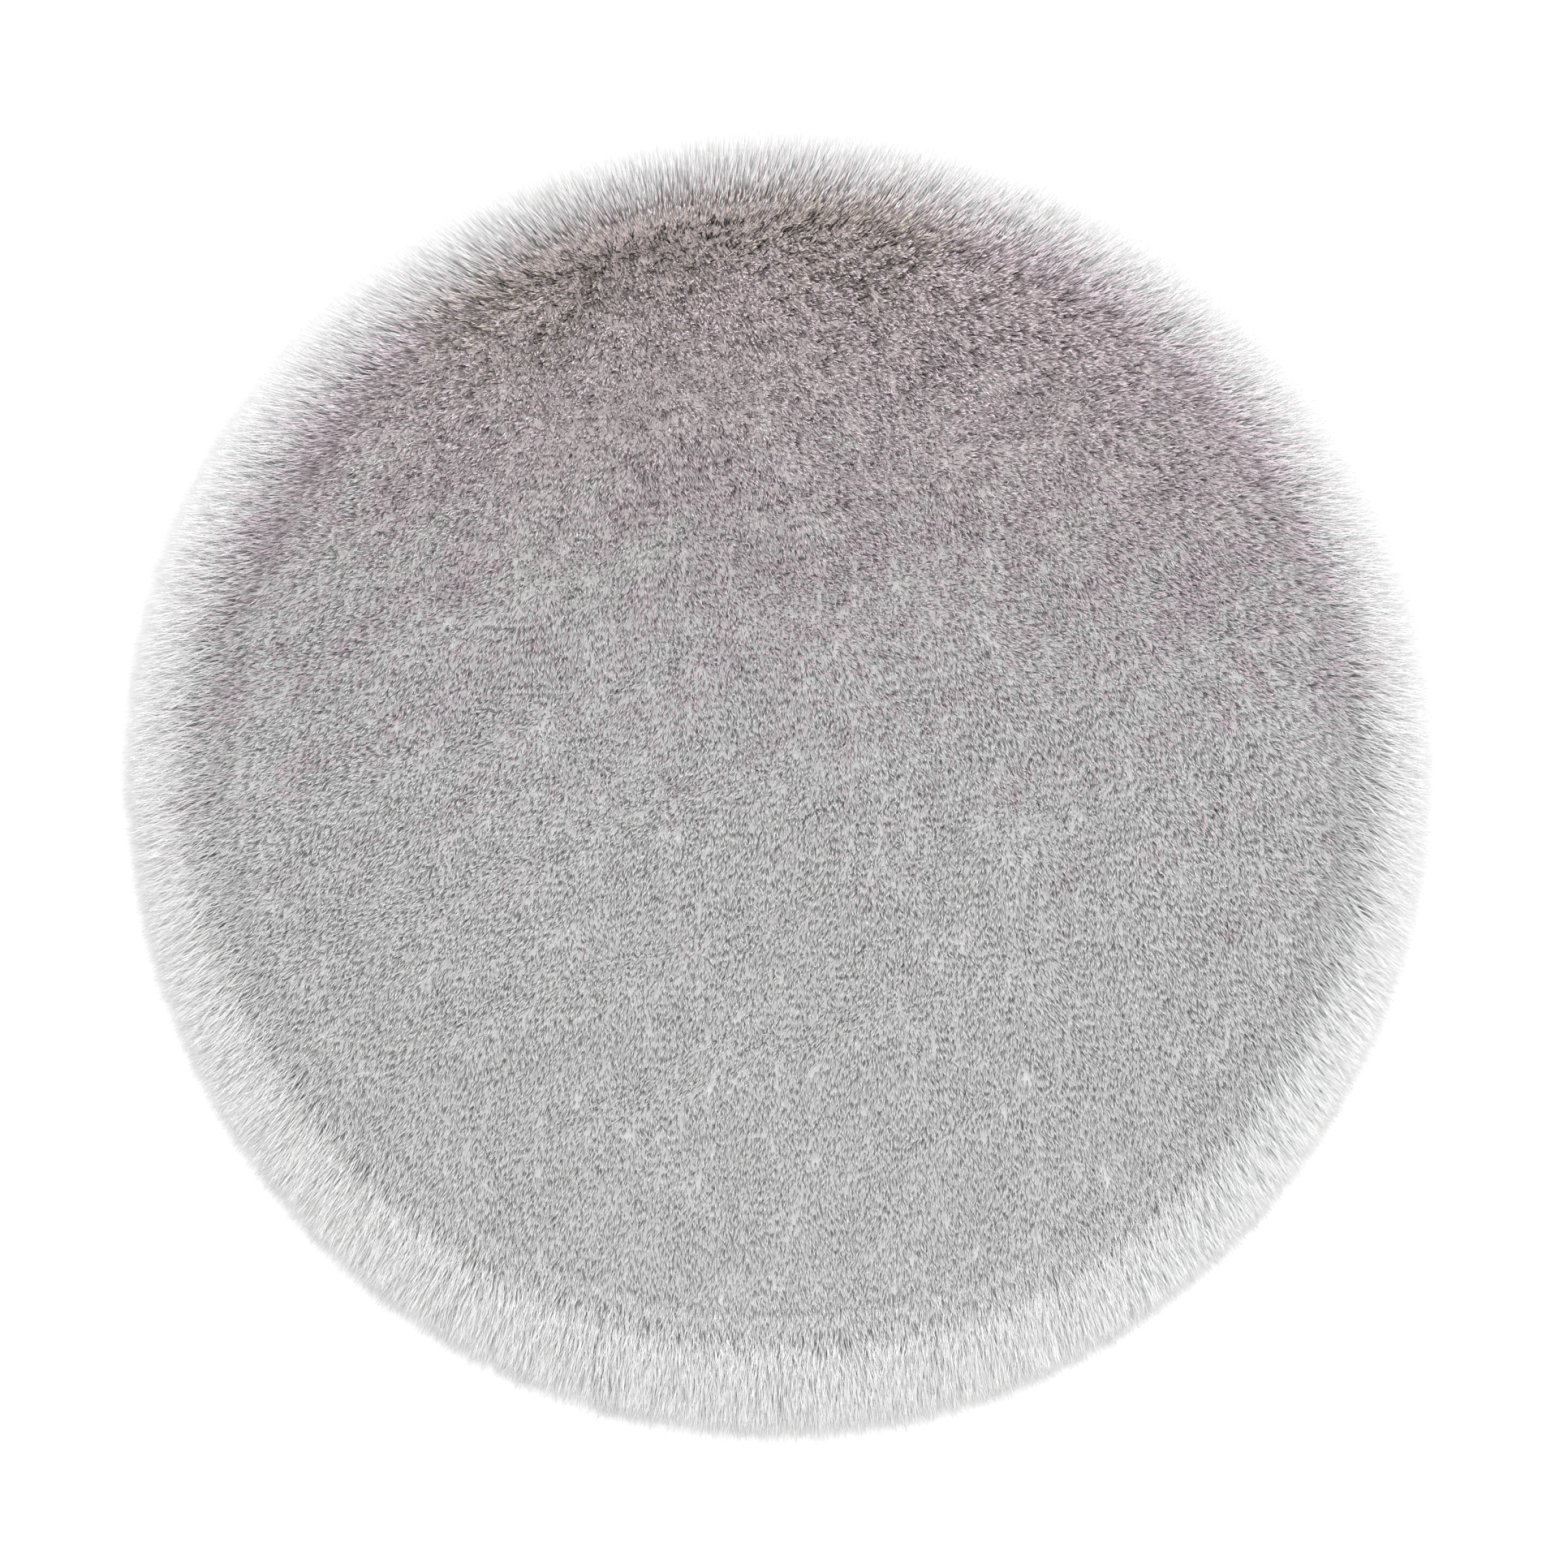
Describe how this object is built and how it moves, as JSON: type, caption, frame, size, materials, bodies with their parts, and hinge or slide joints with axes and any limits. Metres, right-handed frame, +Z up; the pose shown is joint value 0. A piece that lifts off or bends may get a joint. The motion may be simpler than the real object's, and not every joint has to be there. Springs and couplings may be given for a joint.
{
  "type": "chair pad",
  "caption": "Round padded chair pad of pale grey long-pile plush with a low crown, a flat underside and a soft rim of pile locks.",
  "frame": {"origin": "middle of the pad's box at the level of its flat underside, which rests on the seat", "axes": "+Z up out of the pile; the pile leans towards -Y, which is the lower edge of the picture; +X to the right"},
  "size_m": [0.3678, 0.3696, 0.0361],
  "materials": {
    "plush_pile": "soft matt long pile, pale warm grey with lighter tips and darker roots"
  },
  "bodies": {
    "root": {"fur_pad": "plush_pile"}
  },
  "joints": []
}
